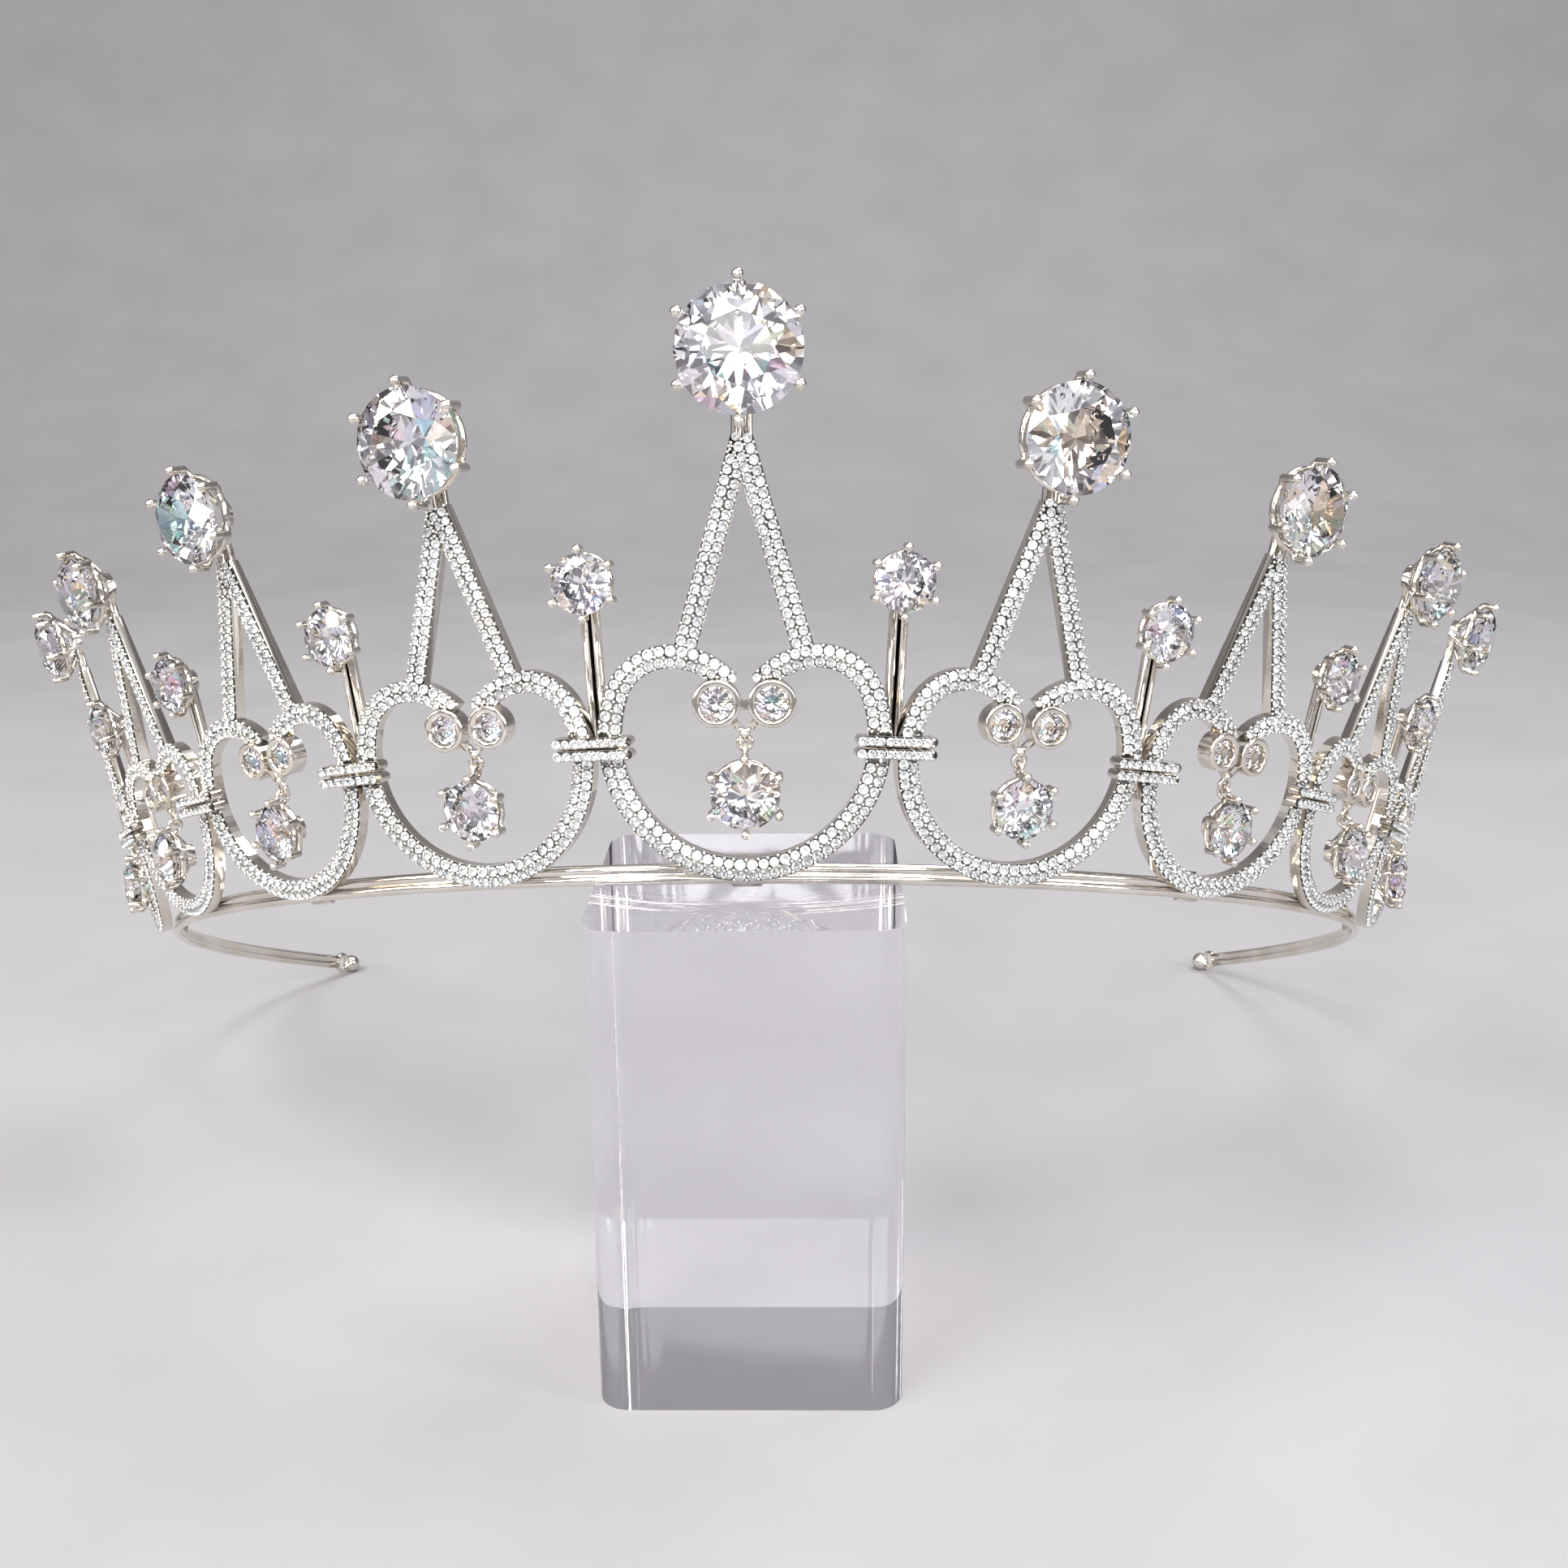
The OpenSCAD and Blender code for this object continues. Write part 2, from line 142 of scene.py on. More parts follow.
def on_face(angle, radius):
    """The place of a leaning face: x along its width, y up it, z out of it, from millimetres to metres."""
    lift = METAL_T / 2 * math.sin(FLARE)
    band_r = BASE_R - METAL_T / 2 * math.cos(FLARE) - BAND_WIRE - SEAT_GAP
    edge_r = math.sqrt(band_r ** 2 - (BLOCK_W / 2) ** 2)
    crown_z = BLOCK_H + BLOCK_GAP - edge_r * math.sin(TILT) + BAND_WIRE * (1 - math.cos(TILT))
    crown_y = -BLOCK_W / 2 + SET_BACK + BASE_R * math.cos(TILT)
    return (
        Matrix.Scale(MM, 4)
        @ Matrix.Translation((0, crown_y, crown_z))
        @ Matrix.Rotation(-TILT, 4, "X")
        @ Matrix.Rotation(angle, 4, "Z")
        @ Matrix.Translation((0, -radius, lift))
        @ Matrix.Rotation(math.pi / 2 + FLARE, 4, "X")
    )


def motif_place(i):
    side = (i > 0) - (i < 0)
    return on_face(side * centre_angle(abs(i)), BASE_R)


def tie_v(j):
    return (half_of(j) + half_of(j + 1)) / 2 - TIE_DROP


def stem_place(n):
    j = abs(n) - 1
    side = 1 if n > 0 else -1
    lean = tie_v(j) * math.sin(FLARE)
    radius = (BASE_R + lean) / math.cos((half_angle(j) + half_angle(j + 1)) / 2) - lean
    return on_face(side * (centre_angle(j) + half_angle(j)), radius)


# Outlines that are paved, as centre lines with a width


def arc(centre, radius, start, end, steps):
    turn = np.linspace(start, end, steps)
    return np.stack([centre[0] + radius * np.cos(turn), centre[1] + radius * np.sin(turn)], 1)


def hoop_line(k):
    """The right half of a hoop's centre line, from its lowest point to its end on the bezel."""
    s = MOTIF_SCALE[k]
    bowl = half_of(k) - width_of(k) / 2
    shoulder = SHOULDER_R * s
    reach = bowl - shoulder
    at = (reach * math.cos(SHOULDER_TURN), half_of(k) + reach * math.sin(SHOULDER_TURN))
    inner = INNER_R * s
    return np.concatenate([
        arc((0, half_of(k)), bowl, -math.pi / 2, SHOULDER_TURN, BOWL_STEPS),
        arc(at, shoulder, SHOULDER_TURN, math.pi / 2, SHOULDER_STEPS)[1:],
        arc((at[0], at[1] + shoulder - inner), inner, math.pi / 2, math.pi - INNER_END, INNER_STEPS)[1:],
    ])


def leg_line(k):
    """The right leg's centre line, from the hoop's top to the apex."""
    top = hoop_line(k)[:, 1].max()
    foot = (FOOT_U * MOTIF_SCALE[k], top - FOOT_DROP)
    return np.linspace(foot, (0, APEX_V[k]), STRAIGHT_STEPS)


def mirrored(line):
    return line * np.array([-1, 1])


def beside(line, off):
    """The line moved to its left by off."""
    way = np.gradient(line, axis=0)
    way /= np.linalg.norm(way, axis=1)[:, None]
    return line + off * np.stack([-way[:, 1], way[:, 0]], 1)


def run_of(line):
    """How far along the line each of its points lies."""
    return np.concatenate([[0], np.cumsum(np.linalg.norm(np.diff(line, axis=0), axis=1))])


def along(line, at):
    """The points that lie that far along the line."""
    run = run_of(line)
    return np.stack([np.interp(at, run, line[:, 0]), np.interp(at, run, line[:, 1])], 1)


def spaced(line, pitch, start):
    """Points on a line at an even pitch, the first one at start from its beginning."""
    return along(line, np.arange(start, run_of(line)[-1], pitch))


def depth_in(points, strips):
    """How far each point lies inside the nearest side of a union of strips (line, width)."""
    deepest = np.full(len(points), -1e9)
    for line, width in strips:
        nearest = np.full(len(points), 1e9)
        for part in np.array_split(line, max(1, len(line) // 40)):
            gap = np.linalg.norm(points[:, None, :] - part[None, :, :], axis=2).min(1)
            nearest = np.minimum(nearest, gap)
        deepest = np.maximum(deepest, width / 2 - nearest)
    return deepest


# Laying out stones and beads


class Paving:
    """Stones and beads laid out on one face, in its own millimetres."""

    def __init__(self, strips, holes, dice):
        self.dice = dice
        self.strips = strips
        self.lines = [(spaced(line, LINE_STEP, 0), width) for line, width in strips]
        self.holes = holes
        self.stones = []
        self.beads = []

    def clearance(self, points):
        """Distance from each point to the nearest stone, bead or bezel already there."""
        gap = np.full(len(points), 1e9)
        for x, y, r in self.stones + self.holes:
            gap = np.minimum(gap, np.hypot(points[:, 0] - x, points[:, 1] - y) - r)
        return gap

    def on_dome(self, x, y):
        """A stone's frame on the dome: over its strip's middle it faces out, beside it it leans away."""
        deepest, off = -1e9, (0.0, 0.0)
        for line, width in self.lines:
            gaps = np.array((x, y)) - line
            near = gaps[int((gaps ** 2).sum(1).argmin())]
            deep = width / 2 - math.hypot(*near)
            if deep > deepest:
                deepest, off = deep, near
        out = Vector((DOME * off[0], DOME * off[1], 1.0)).normalized()
        height = CREST - DOME / 2 * (off[0] ** 2 + off[1] ** 2)
        turn = Vector((0, 0, 1)).rotation_difference(out).to_matrix().to_4x4()
        return Matrix.Translation((x, y, height)) @ turn

    def row(self, line, radius, start):
        """A row of stones of slightly uneven sizes, where there is room for them."""
        end = run_of(line)[-1]
        here, size = start, radius
        while here < end:
            spot = along(line, np.array([here]))
            if self.clearance(spot)[0] > ROW_ROOM * size:
                self.stones.append((*spot[0], size))
            last, size = size, radius * self.dice.uniform(UNEVEN, 1)
            here += last + size + STONE_GAP

    def grid(self):
        """Close points all over the strips, and how deep in the paved face each one lies."""
        lanes = []
        for line, width in self.strips:
            dense = spaced(line, GRID, 0)
            lanes += [beside(dense, off) for off in np.arange(-width / 2, width / 2, GRID)]
        points = np.concatenate(lanes)
        return points, depth_in(points, self.strips)

    def fill(self):
        """Smaller stones where the rows meet, then a bead in every gap that is left."""
        points, deep = self.grid()
        gap = self.clearance(points)
        for radius in FILL_RADII:
            while True:
                room = np.minimum(gap, deep - RIM)
                best = int(room.argmax())
                if room[best] < radius:
                    break
                x, y = points[best]
                self.stones.append((x, y, radius))
                gap = np.minimum(gap, np.hypot(points[:, 0] - x, points[:, 1] - y) - radius)
        while True:
            room = np.minimum(gap, deep)
            best = int(room.argmax())
            if room[best] < BEAD_MIN:
                break
            x, y = points[best]
            radius = min(BEAD_R, room[best] + BEAD_LAP)
            self.beads.append((x, y, radius))
            gap = np.minimum(gap, np.hypot(points[:, 0] - x, points[:, 1] - y) - radius)


def paved_motif(k, dice):
    hoop, leg = hoop_line(k), leg_line(k)
    width = width_of(k)
    leg_width = LEG_W * width / HOOP_W
    s = MOTIF_SCALE[k]
    strips = [(hoop, width), (mirrored(hoop), width), (leg, leg_width), (mirrored(leg), leg_width)]
    holes = [(side * BEZEL_U * s, BEZEL_V * s, BEZEL_R * s) for side in (-1, 1)]
    laid = Paving(strips, holes, dice)
    radius = (width - 2 * RIM) / 4
    for off in (radius, -radius):
        for line in (hoop, mirrored(hoop)):
            laid.row(beside(line, off), radius, radius + STONE_GAP / 2)
    radius = (leg_width - 2 * RIM) / 4
    for off in (radius, -radius):
        for line in (leg, mirrored(leg)):
            laid.row(beside(line, off), radius, radius)
    laid.fill()
    return laid


def paved_tie(j, dice):
    straight = (TIE_LEN - TIE_ROW) / 2
    strips = []
    for side in (-1, 1):
        v = tie_v(j) + side * (GROOVE_W + TIE_ROW) / 2
        strips.append((np.linspace((-straight, v), (straight, v), STRAIGHT_STEPS), TIE_ROW))
    laid = Paving(strips, [], dice)
    radius = TIE_ROW / 2 - RIM
    for line, width in strips:
        laid.row(line, radius, 0.0)
    laid.fill()
    return laid


def under_tie(spot):
    """Whether a place on a hoop is hidden under a tie bar."""
    for n in JOINS:
        x, y, z = stem_place(n).inverted() @ spot.translation
        off = abs(y - tie_v(abs(n) - 1))
        if abs(z) < TIE_FRONT and abs(x) < TIE_LEN / 2 - HIDDEN and off < TIE_H / 2 - HIDDEN:
            return True
    return False


# Stones and beads. As shares of a brilliant's diameter: the radii of its table and of the inner ends
# of its lower facets, and the heights of its crown, half its girdle and its pavilion
TABLE = 0.28
STAR_OUT = 0.01
LOWER_R = 0.11
CROWN_H = 0.15
HALF_GIRDLE = 0.015
PAVILION_H = 0.4
ROUND_STEPS = 6
BEAD_SIDES = 8
BEAD_RINGS = ((0.5, 0.87), (0.87, 0.5), (1.0, 0.0), (0.9, -3.0))


def ring(radius, z, count, turn):
    angles = turn + np.arange(count) * 2 * math.pi / count
    return [(radius * math.cos(a), radius * math.sin(a), z) for a in angles]


def brilliant(steps):
    """A round brilliant of diameter 1 with its table up and its girdle at z = 0.

    Each of the girdle's sixteen sides is drawn in that many steps on the round outline, on the
    planes of the facets above and below it."""
    table = ring(TABLE, HALF_GIRDLE + CROWN_H, 8, 0)
    star_r = 0.5 * (TABLE + 0.5) + STAR_OUT
    star_z = HALF_GIRDLE + CROWN_H * (0.5 - star_r * math.cos(math.pi / 8)) / (0.5 - TABLE)
    star = ring(star_r, star_z, 8, math.pi / 8)
    low_z = -HALF_GIRDLE - PAVILION_H * (1 - 2 * LOWER_R * math.cos(math.pi / 8))
    low = ring(LOWER_R, low_z, 8, math.pi / 8)
    upper, lower = [], []
    for side in range(16):
        for step in range(steps):
            point = Vector(ring(0.5, 0, 1, (side + step / steps) * math.pi / 8)[0])
            upper.append(on_facet(point, star[side // 2], side, HALF_GIRDLE))
            lower.append(on_facet(point, low[side // 2], side, -HALF_GIRDLE))
    points = [*table, *star, *low, (0, 0, -HALF_GIRDLE - PAVILION_H), *upper, *lower]
    star_at, low_at, culet, upper_at = 8, 16, 24, 25
    count = 16 * steps
    lower_at = upper_at + count
    crown, base = [tuple(range(8))], []
    for i in range(8):
        after, before = (i + 1) % 8, (i + 7) % 8
        corner = 2 * i * steps
        crown += [
            (i, star_at + i, after),
            (i, star_at + before, upper_at + corner, star_at + i),
        ]
        base.append((lower_at + corner, low_at + before, culet, low_at + i))
        for side in (0, 1):
            edge = [(corner + side * steps + step) % count for step in range(steps + 1)]
            crown.append((star_at + i, *(upper_at + e for e in edge)))
            base.append((low_at + i, *(lower_at + e for e in reversed(edge))))
            for a, b in zip(edge, edge[1:]):
                base.append((upper_at + a, lower_at + a, lower_at + b, upper_at + b))
    return np.array(points), crown + base, [0] * len(crown) + [1] * len(base)


def on_facet(point, tip, side, level):
    """A point of the round outline, at the height of the facet through a tip and that girdle side."""
    a, b = (Vector(ring(0.5, level, 1, (side + end) * math.pi / 8)[0]) for end in (0, 1))
    out = (b - a).cross(Vector(tip) - a)
    lift = out.dot(a - Vector((point[0], point[1], 0))) / out[2]
    return point[0], point[1], lift


def bead():
    """A bead of radius 1: a dome on a short post that reaches down to the tray's floor."""
    count = BEAD_SIDES
    points = [(0, 0, 1.0)]
    for n, (radius, z) in enumerate(BEAD_RINGS):
        points += ring(radius, z, count, n % 2 * math.pi / count)
    faces = []
    for i in range(count):
        faces.append((0, 1 + i, 1 + (i + 1) % count))
    for n in range(len(BEAD_RINGS) - 1):
        a, b = 1 + n * count, 1 + (n + 1) * count
        for i in range(count):
            faces.append((a + i, b + i, b + (i + 1) % count, a + (i + 1) % count))
    low = 1 + (len(BEAD_RINGS) - 1) * count
    faces.append(tuple(low + i for i in reversed(range(count))))
    return np.array(points), faces, [0] * len(faces)


def copies(name, template, places, materials, smooth):
    """One mesh object of many placed copies of a template (points, faces, each face's material)."""
    points, faces, parts = template
    points = np.c_[points, np.ones(len(points))]
    vertices = np.concatenate([(points @ np.array(m).T)[:, :3] for m in places])
    count = len(points)
    all_faces = [tuple(v + n * count for v in f) for n in range(len(places)) for f in faces]
    mesh = bpy.data.meshes.new(name)
    mesh.from_pydata(vertices.tolist(), [], all_faces)
    mesh.polygons.foreach_set("use_smooth", [smooth] * len(mesh.polygons))
    mesh.polygons.foreach_set("material_index", parts * len(places))
    for material in materials:
        mesh.materials.append(material)
    mesh.update()
    piece = bpy.data.objects.new(name, mesh)
    bpy.context.scene.collection.objects.link(piece)
    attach(piece, "root")
    return piece


def stone_places(face, laid, level, dice):
    for x, y, r in laid.stones:
        yield (
            face
            @ Matrix.Translation((0, 0, level))
            @ laid.on_dome(x, y)
            @ Matrix.Rotation(dice.uniform(0, math.tau), 4, "Z")
            @ Matrix.Rotation(math.radians(dice.gauss(0, UNEVEN_TURN)), 4, "X")
            @ Matrix.Scale(2 * r, 4)
        )


def bead_places(face, laid, level, dice):
    for x, y, r in laid.beads:
        yield (
            face
            @ Matrix.Translation((0, 0, level + dice.uniform(-BEAD_SINK, 0.0)))
            @ laid.on_dome(x, y)
            @ Matrix.Rotation(dice.uniform(0, math.tau), 4, "Z")
            @ Matrix.Scale(r, 4)
        )


def frame_of(mesh):
    """Where a CAD brilliant lies: its girdle's middle, table side up, a table corner on x, diameter 1."""
    points = np.array([v.co for v in mesh.vertices])
    sums = {}
    for f in mesh.polygons:
        way = tuple(round(c, 2) for c in f.normal)
        sums[way] = sums.get(way, 0) + f.area
    table_way = max(sums, key=sums.get)
    table = [f for f in mesh.polygons if tuple(round(c, 2) for c in f.normal) == table_way]
    up = sum((f.normal * f.area for f in table), Vector()).normalized()
    corner = mesh.vertices[table[0].vertices[0]].co
    heights = points @ np.array(up)
    centre = Vector(points[heights < heights.min() + LEVEL_MARGIN].mean(0))
    spread = points - np.array(centre)
    apart = np.linalg.norm(spread - np.outer(spread @ np.array(up), np.array(up)), axis=1)
    girdle = heights[apart > FACE_ON * apart.max()]
    middle = centre + up * ((girdle.max() + girdle.min()) / 2 - heights.min())
    x = corner - middle
    x = (x - up * x.dot(up)).normalized()
    turn = Matrix((x, up.cross(x), up)).transposed().to_4x4()
    return Matrix.Translation(middle) @ turn @ Matrix.Scale(2 * apart.max(), 4)


def round_stone(node):
    """A stone in the place of a CAD stone, with the same facets and a round girdle."""
    place = frame_of(NODES[node].data)
    piece = copies(f"round_{node}", FINE_GEM, [place], [BIG_STONE], False)
    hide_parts(node)
    return piece


def round_rims(bm, face):
    """Rounds both edges of the bezels' rims."""
    out = (face.to_3x3() @ Vector((0, 0, 1))).normalized()
    base = face @ Vector((0, 0, METAL_T / 2 + BEZEL_RISE))
    edges = [
        e for e in bm.edges
        if all(abs((v.co - base).dot(out)) < LEVEL_MARGIN for v in e.verts)
        and e.calc_face_angle(0) > RIM_EDGE
    ]
    bmesh.ops.bevel(
        bm, geom=edges, affect="EDGES", offset=RIM_ROUND * MM, segments=RIM_STEPS, profile=0.5)


def sink_front(bm, face, level):
    """Sinks the flat front at that level to a tray, whose floor and sides take the second material: a
    darker metal that paints the shade between the stones.
    """
    out = (face.to_3x3() @ Vector((0, 0, 1))).normalized()
    base = face @ Vector((0, 0, level))
    front = [
        f for f in bm.faces
        if f.normal.dot(out) > FACE_ON
        and all(abs((v.co - base).dot(out)) < LEVEL_MARGIN for v in f.verts)
    ]
    bmesh.ops.inset_region(bm, faces=front, thickness=RIM * MM, use_even_offset=True, use_boundary=True)
    walls = bmesh.ops.inset_region(
        bm, faces=front, thickness=TRAY_SLOPE * MM, depth=-TRAY_DEPTH * MM,
        use_even_offset=True, use_boundary=True)
    # The tray's floor and sides take the darker metal: painted shade in the gaps between the stones.
    for f in front + walls["faces"]:
        f.material_index = 1


def smooth_copy(node, name, faces=(), level=0.0, rims=False):
    """A smooth copy of a metal node; on the faces given its front at that level is a paving tray."""
    mesh = NODES[node].data.copy()
    mesh.name = name
    bm = bmesh.new()
    bm.from_mesh(mesh)
    bmesh.ops.remove_doubles(bm, verts=bm.verts, dist=SAME_POINT)
    bm.normal_update()
    mesh.materials.clear()
    mesh.materials.append(SILVER)
    # The second slot is the tray metal, darkened as painted shade.
    if faces:
        mesh.materials.append(SHADED_TRAY_SILVER)
    for face in faces:
        if rims:
            round_rims(bm, face)
        sink_front(bm, face, level)
    bm.to_mesh(mesh)
    bm.free()
    mesh.polygons.foreach_set("use_smooth", [True] * len(mesh.polygons))
    mesh.set_sharp_from_angle(angle=math.radians(SHARP))
    piece = bpy.data.objects.new(name, mesh)
    bpy.context.scene.collection.objects.link(piece)
    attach(piece, "root")
    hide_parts(node)
    return piece


# Materials. Noise scales per metre with their detail: tone, wear and small lumps
TONE, WEAR, LUMPS = (160, 3), (900, 4), (1400, 3)
LUMP_H = 0.00005
BLOCK_TONE, BLOCK_WEAR = (40, 2), (300, 4)
BLOCK_ROUGH = 0.06
FLOOR_TONE = (25, 5)
STONE_IOR, ACRYLIC_IOR = 2.16, 1.49
FACET_STEP = 0.04


def new_material(name):
    material = bpy.data.materials.new(name)
    material.use_nodes = True
    return material, material.node_tree.nodes, material.node_tree.links


def noise(nodes, links, scale, detail):
    place = nodes.new("ShaderNodeTexCoord")
    texture = nodes.new("ShaderNodeTexNoise")
    texture.inputs["Scale"].default_value = scale
    texture.inputs["Detail"].default_value = detail
    links.new(place.outputs["Object"], texture.inputs["Vector"])
    return texture


def ramp(nodes, links, source, low, high, start=0.35, end=0.65):
    colours = nodes.new("ShaderNodeValToRGB")
    colours.color_ramp.elements[0].position = start
    colours.color_ramp.elements[1].position = end
    colours.color_ramp.elements[0].color = (*low, 1)
    colours.color_ramp.elements[1].color = (*high, 1)
    links.new(source.outputs["Fac"], colours.inputs["Fac"])
    return colours


def metal(name, low, high, rough, bump):
    material, nodes, links = new_material(name)
    shader = nodes["Principled BSDF"]
    shader.inputs["Metallic"].default_value = 1.0
    tone = ramp(nodes, links, noise(nodes, links, *TONE), low, high)
    links.new(tone.outputs["Color"], shader.inputs["Base Color"])
    wear = noise(nodes, links, *WEAR)
    spread = nodes.new("ShaderNodeMapRange")
    spread.inputs["To Min"].default_value = rough[0]
    spread.inputs["To Max"].default_value = rough[1]
    links.new(wear.outputs["Fac"], spread.inputs["Value"])
    links.new(spread.outputs["Result"], shader.inputs["Roughness"])
    lumps = nodes.new("ShaderNodeBump")
    lumps.inputs["Strength"].default_value = bump
    lumps.inputs["Distance"].default_value = LUMP_H
    links.new(noise(nodes, links, *LUMPS).outputs["Fac"], lumps.inputs["Height"])
    links.new(lumps.outputs["Normal"], shader.inputs["Normal"])
    return material


def let_lamps_through(nodes, links, surface, tint):
    """Shadow rays pass the surface, so that light reaches what lies under clear stones and acrylic."""
    clear = nodes.new("ShaderNodeBsdfTransparent")
    clear.inputs["Color"].default_value = (*tint, 1)
    path = nodes.new("ShaderNodeLightPath")
    both = nodes.new("ShaderNodeMixShader")
    links.new(path.outputs["Is Shadow Ray"], both.inputs["Fac"])
    links.new(surface, both.inputs[1])
    links.new(clear.outputs["BSDF"], both.inputs[2])
    links.new(both.outputs["Shader"], nodes["Material Output"].inputs["Surface"])


def painted_fire_tints(nodes, links, colours):
    """Painted fire: a colour that each facet draws for itself, by the way it faces, in place of the
    coloured flashes of light split by the stone: mostly clear, a few tinted.
    """
    facing = nodes.new("ShaderNodeNewGeometry")
    coarse = nodes.new("ShaderNodeVectorMath")
    coarse.operation = "SNAP"
    coarse.inputs[1].default_value = (FACET_STEP, FACET_STEP, FACET_STEP)
    links.new(facing.outputs["True Normal"], coarse.inputs[0])
    draw = nodes.new("ShaderNodeTexWhiteNoise")
    links.new(coarse.outputs["Vector"], draw.inputs["Vector"])
    fire_tints = nodes.new("ShaderNodeValToRGB")
    fire_tints.color_ramp.interpolation = "CONSTANT"
    steps = fire_tints.color_ramp.elements
    while len(steps) < len(colours):
        steps.new(0.5)
    for step, (start, colour) in zip(steps, colours):
        step.position = start
        step.color = (*colour, 1)
    links.new(draw.outputs["Value"], fire_tints.inputs["Fac"])
    return fire_tints


def stone(name, colours):
    material, nodes, links = new_material(name)
    shader = nodes["Principled BSDF"]
    shader.inputs["Transmission Weight"].default_value = 1.0
    shader.inputs["Roughness"].default_value = 0.0
    shader.inputs["IOR"].default_value = STONE_IOR
    # The glass takes painted fire: coloured flashes painted on the facets by the way they face.
    fire_tints = painted_fire_tints(nodes, links, colours)
    links.new(fire_tints.outputs["Color"], shader.inputs["Base Color"])
    let_lamps_through(nodes, links, shader.outputs["BSDF"], (0.85, 0.85, 0.85))
    return material


def acrylic(name):
    material, nodes, links = new_material(name)
    shader = nodes["Principled BSDF"]
    shader.inputs["Transmission Weight"].default_value = 1.0
    shader.inputs["IOR"].default_value = ACRYLIC_IOR
    tone = ramp(nodes, links, noise(nodes, links, *BLOCK_TONE), (0.95, 0.94, 0.98), (0.98, 0.975, 1.0))
    links.new(tone.outputs["Color"], shader.inputs["Base Color"])
    wear = noise(nodes, links, *BLOCK_WEAR)
    spread = nodes.new("ShaderNodeMapRange")
    spread.inputs["To Min"].default_value = 0.0
    spread.inputs["To Max"].default_value = BLOCK_ROUGH
    links.new(wear.outputs["Fac"], spread.inputs["Value"])
    links.new(spread.outputs["Result"], shader.inputs["Roughness"])
    let_lamps_through(nodes, links, shader.outputs["BSDF"], (0.45, 0.44, 0.46))
    return material


def pale_floor(name):
    material, nodes, links = new_material(name)
    shader = nodes["Principled BSDF"]
    shader.inputs["Roughness"].default_value = 0.7
    tone = ramp(nodes, links, noise(nodes, links, *FLOOR_TONE), (0.27, 0.265, 0.275), (0.29, 0.285, 0.295))
    links.new(tone.outputs["Color"], shader.inputs["Base Color"])
    return material


SILVER = metal("rhodium", (0.66, 0.61, 0.54), (0.80, 0.76, 0.70), (0.06, 0.16), 0.1)
PAVING_SILVER = metal("rhodium_paving", (0.78, 0.77, 0.74), (0.90, 0.89, 0.86), (0.1, 0.22), 0.15)
# The tray's metal: the same rhodium painted darker, as shade in the recess under and between the stones.
SHADED_TRAY_SILVER = metal("rhodium_tray_painted_shade", (0.30, 0.285, 0.26), (0.42, 0.40, 0.37), (0.3, 0.5), 0.2)
# Facet tints of both stones: painted fire, with coloured and greyer flashes painted into clear glass.
BIG_STONE = stone("clear_stone", (
    (0.00, (1.00, 1.00, 1.00)),
    (0.30, (0.90, 0.88, 0.95)),
    (0.50, (0.76, 0.73, 0.83)),
    (0.68, (0.86, 0.78, 0.76)),
    (0.78, (1.00, 0.74, 0.48)),
    (0.84, (0.52, 0.96, 0.94)),
    (0.90, (0.52, 0.60, 1.00)),
    (0.95, (0.92, 1.00, 0.58)),
    (0.98, (1.00, 0.58, 0.80)),
))
SMALL_STONE = stone("paving_stone", (
    (0.00, (1.00, 1.00, 1.00)),
    (0.34, (0.92, 0.95, 0.97)),
    (0.58, (0.80, 0.82, 0.86)),
    (0.72, (0.90, 0.98, 1.00)),
    (0.88, (0.84, 0.79, 0.73)),
    (0.96, (0.80, 0.80, 1.00)),
))
BRIGHT_BACK = metal("bright_back", (0.80, 0.80, 0.79), (0.94, 0.94, 0.93), (0.1, 0.25), 0.0)
ACRYLIC = acrylic("clear_acrylic")


def finish_node(name, material):
    slots = NODES[name].data.materials
    slots.clear()
    slots.append(material)


for name in NODES:
    if name == "block":
        finish_node(name, ACRYLIC)
    elif "stone" in name:
        finish_node(name, BIG_STONE)
    else:
        finish_node(name, SILVER)

smooth_copy("base_band", "smooth_base_band")
for number in range(1, 10):
    smooth_copy(f"drop_{number}", f"smooth_drop_{number}")
for number in range(1, 9):
    smooth_copy(f"stem_{number}", f"smooth_stem_{number}")

FINE_GEM = brilliant(ROUND_STEPS)
for name in NODES:
    if "stone" in name and name != "bezel_stones":
        round_stone(name)

# Paved pieces
dice = random.Random(SEED)
GEM, BEAD = brilliant(1), bead()
laid_motifs = [paved_motif(k, dice) for k in range(5)]
for i in range(-4, 5):
    number = i + 5
    place = motif_place(i)
    laid = laid_motifs[abs(i)]
    smooth_copy(f"motif_{number}", f"paved_motif_{number}", [place], METAL_T / 2, rims=True)
    spots = [m for m in stone_places(place, laid, METAL_T / 2, dice) if not under_tie(m)]
    copies(f"motif_paving_{number}", GEM, spots, [SMALL_STONE, BRIGHT_BACK], False)
    spots = [m for m in bead_places(place, laid, METAL_T / 2, dice) if not under_tie(m)]
    copies(f"motif_beads_{number}", BEAD, spots, [PAVING_SILVER], True)

joins = [(stem_place(n), paved_tie(abs(n) - 1, dice)) for n in JOINS]
smooth_copy("tie_bars", "paved_tie_bars", [place for place, laid in joins], TIE_FRONT)
spots = [m for place, laid in joins for m in stone_places(place, laid, TIE_FRONT, dice)]
copies("tie_paving", GEM, spots, [SMALL_STONE, BRIGHT_BACK], False)
spots = [m for place, laid in joins for m in bead_places(place, laid, TIE_FRONT, dice)]
copies("tie_beads", BEAD, spots, [PAVING_SILVER], True)


# Floor and backdrop in one sweep, in metres
FLOOR_GAP = 0.00002
FLOOR_FRONT, FLOOR_BACK = -2.5, 1.0
FLOOR_HALF = 2.5
BEND, BEND_STEPS = 0.5, 16
BACKDROP_H = 1.6


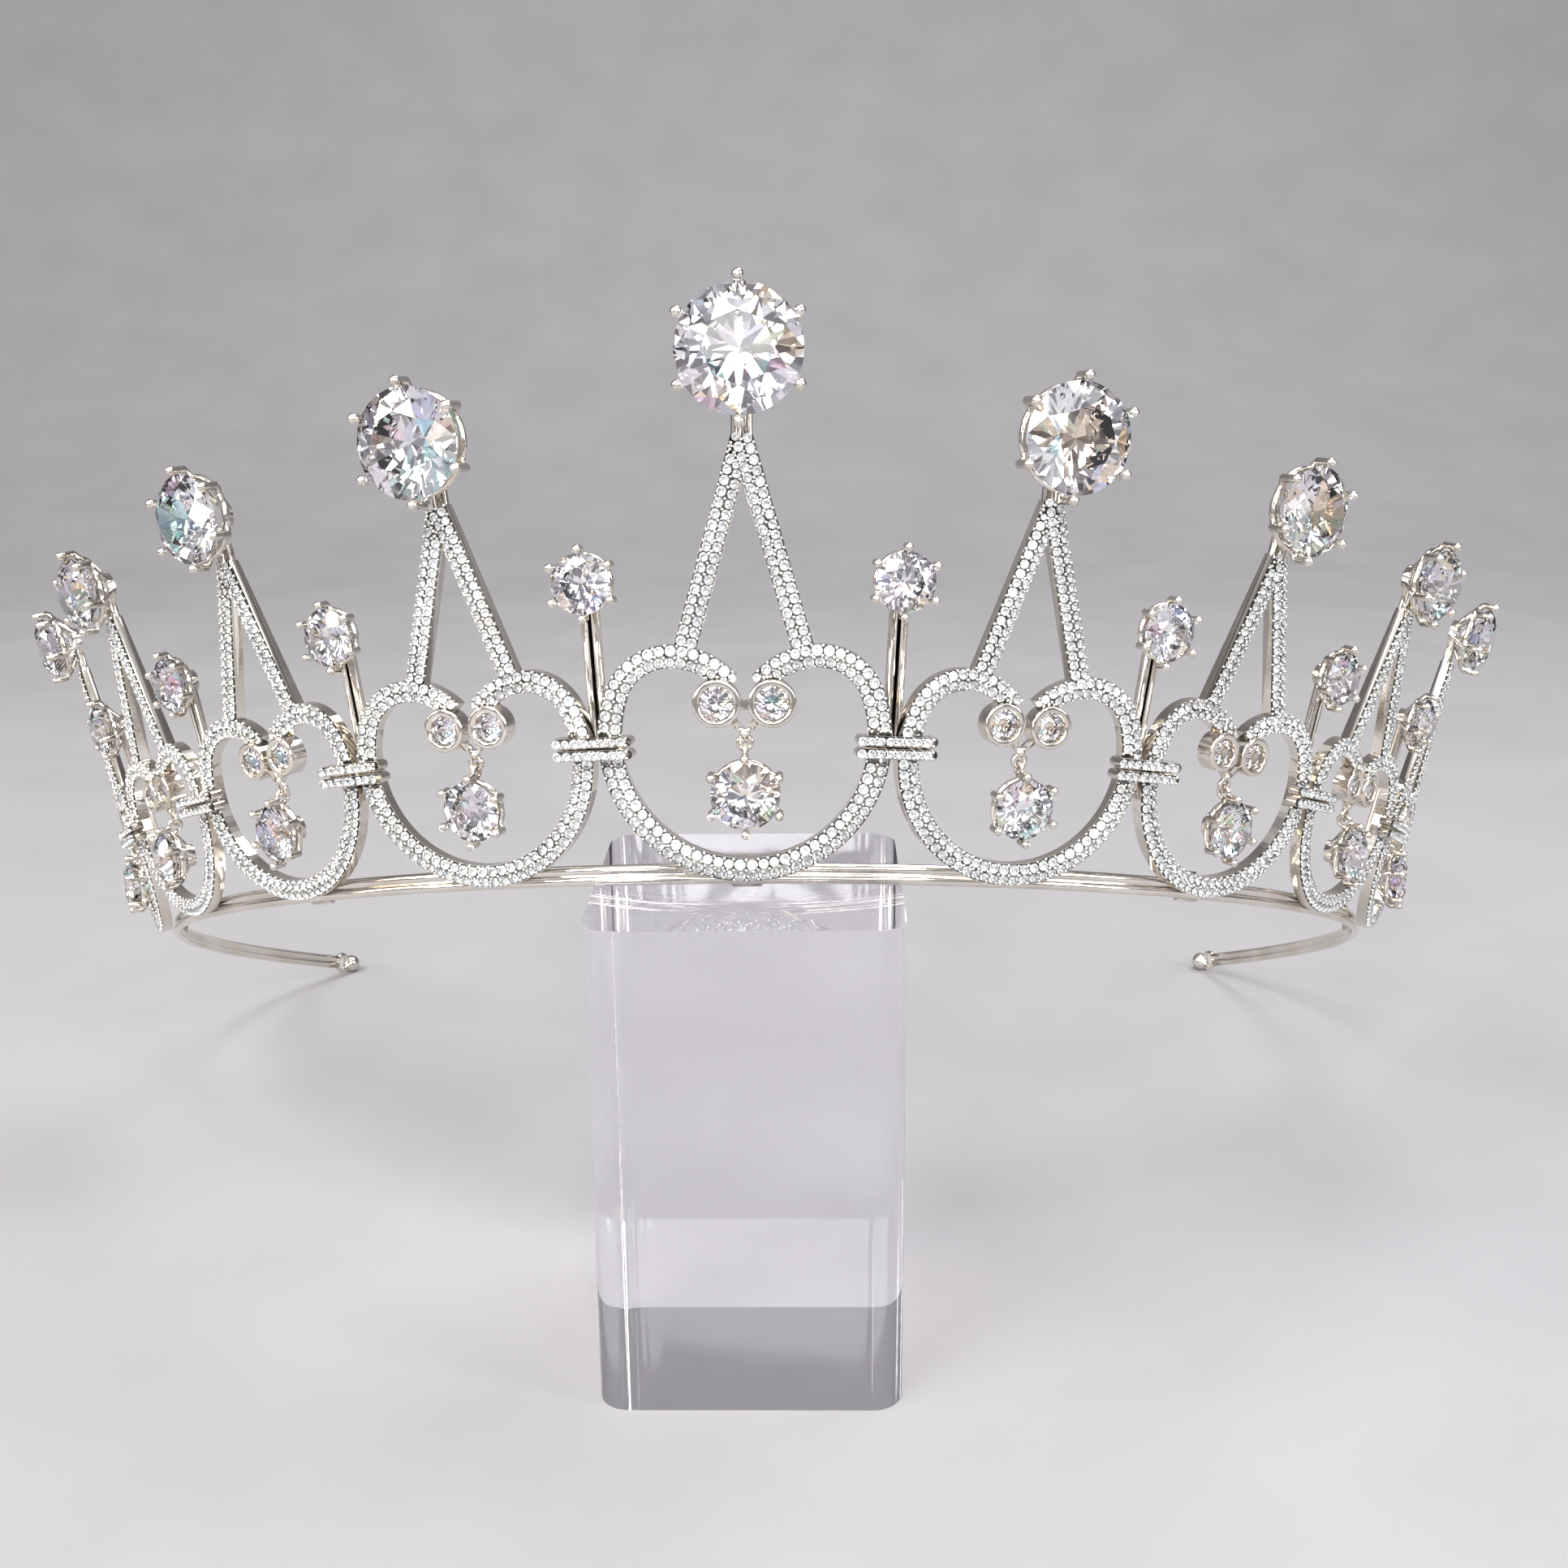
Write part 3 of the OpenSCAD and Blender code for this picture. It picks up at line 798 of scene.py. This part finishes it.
def sweep():
    profile = [(FLOOR_FRONT, 0.0), (FLOOR_BACK - BEND, 0.0)]
    for n in range(1, BEND_STEPS + 1):
        turn = n / BEND_STEPS * math.pi / 2
        profile.append((FLOOR_BACK - BEND + BEND * math.sin(turn), BEND - BEND * math.cos(turn)))
    profile.append((FLOOR_BACK, BACKDROP_H))
    points = [(side * FLOOR_HALF, y, z) for y, z in profile for side in (-1, 1)]
    faces = [(2 * n, 2 * n + 1, 2 * n + 3, 2 * n + 2) for n in range(len(profile) - 1)]
    mesh = bpy.data.meshes.new("floor")
    mesh.from_pydata(points, [], faces)
    mesh.polygons.foreach_set("use_smooth", [True] * len(mesh.polygons))
    mesh.materials.append(pale_floor("pale_floor"))
    floor = bpy.data.objects.new("floor", mesh)
    floor.location.z = -FLOOR_GAP
    bpy.context.scene.collection.objects.link(floor)


sweep()


# Light: the place that every lamp points at, and the small lamps that the stones sparkle by
CENTRE = (0, 0.03, 0.05)
SPARKS = (
    (-0.50, -0.60, 0.50), (-0.20, -0.75, 0.65), (0.12, -0.80, 0.40), (0.40, -0.62, 0.62),
    (0.66, -0.35, 0.35), (-0.66, -0.30, 0.32), (0.05, -0.40, 0.90), (-0.35, -0.80, 0.22),
)
SPARK_SIZE, SPARK_WATTS = (0.09, 0.09), 1.2


def area_light(name, place, size, watts, colour=(1, 1, 1)):
    data = bpy.data.lights.new(name, "AREA")
    data.shape = "RECTANGLE"
    data.size, data.size_y = size
    data.energy = watts
    data.color = colour
    light = bpy.data.objects.new(name, data)
    light.location = place
    light.rotation_euler = (Vector(CENTRE) - Vector(place)).to_track_quat("-Z", "Y").to_euler()
    bpy.context.scene.collection.objects.link(light)


area_light("key", (-0.35, -0.35, 0.75), (0.4, 0.3), 6)
area_light("top", (0.25, 0.25, 0.8), (0.4, 0.4), 4)
area_light("front", (0.1, -0.6, 0.3), (0.5, 0.2), 0.9)
area_light("right_strip", (0.75, -0.3, 0.45), (0.1, 0.5), 2.5)
area_light("left_strip", (-0.8, -0.1, 0.42), (0.12, 0.5), 2.5, (1, 0.8, 0.55))
for n, place in enumerate(SPARKS):
    area_light(f"spark_{n + 1}", place, SPARK_SIZE, SPARK_WATTS)


def studio(bands):
    """Soft light from all round in bands of height, so that metal and stones have something to mirror."""
    world = bpy.data.worlds.new("studio")
    bpy.context.scene.world = world
    world.use_nodes = True
    nodes, links = world.node_tree.nodes, world.node_tree.links
    place = nodes.new("ShaderNodeTexCoord")
    parts = nodes.new("ShaderNodeSeparateXYZ")
    links.new(place.outputs["Generated"], parts.inputs["Vector"])
    colours = nodes.new("ShaderNodeValToRGB")
    steps = colours.color_ramp.elements
    while len(steps) < len(bands):
        steps.new(0.5)
    for step, (height, colour) in zip(steps, bands):
        step.position = height
        step.color = (*colour, 1)
    links.new(parts.outputs["Z"], colours.inputs["Fac"])
    links.new(colours.outputs["Color"], nodes["Background"].inputs["Color"])


studio((
    (0.02, (0.55, 0.53, 0.57)),
    (0.12, (0.16, 0.15, 0.17)),
    (0.28, (0.22, 0.21, 0.23)),
    (0.40, (0.74, 0.73, 0.76)),
    (0.58, (0.26, 0.25, 0.28)),
    (0.75, (0.66, 0.66, 0.68)),
    (1.00, (0.80, 0.80, 0.80)),
))
bpy.context.scene.view_settings.view_transform = "Standard"

# Camera, fitted to the photograph: millimetres, degrees, and the focal length in pixels of 1932
CAMERA_AT = (6.35, -163.28, 104.82)
YAW, PITCH, ROLL = 0.971, 15.455, -0.504
FOCAL, PICTURE = 2144.0, 1932.0
SENSOR = 36.0

camera_data = bpy.data.cameras.new("camera")
camera_data.sensor_width = SENSOR
camera_data.lens = FOCAL / PICTURE * SENSOR
camera_data.clip_start = 0.01
camera = bpy.data.objects.new("camera", camera_data)
camera.matrix_world = (
    Matrix.Translation(Vector(CAMERA_AT) * MM)
    @ Matrix.Rotation(math.radians(YAW), 4, "Z")
    @ Matrix.Rotation(math.radians(90 - PITCH), 4, "X")
    @ Matrix.Rotation(math.radians(ROLL), 4, "Z")
)
bpy.context.scene.collection.objects.link(camera)
bpy.context.scene.camera = camera
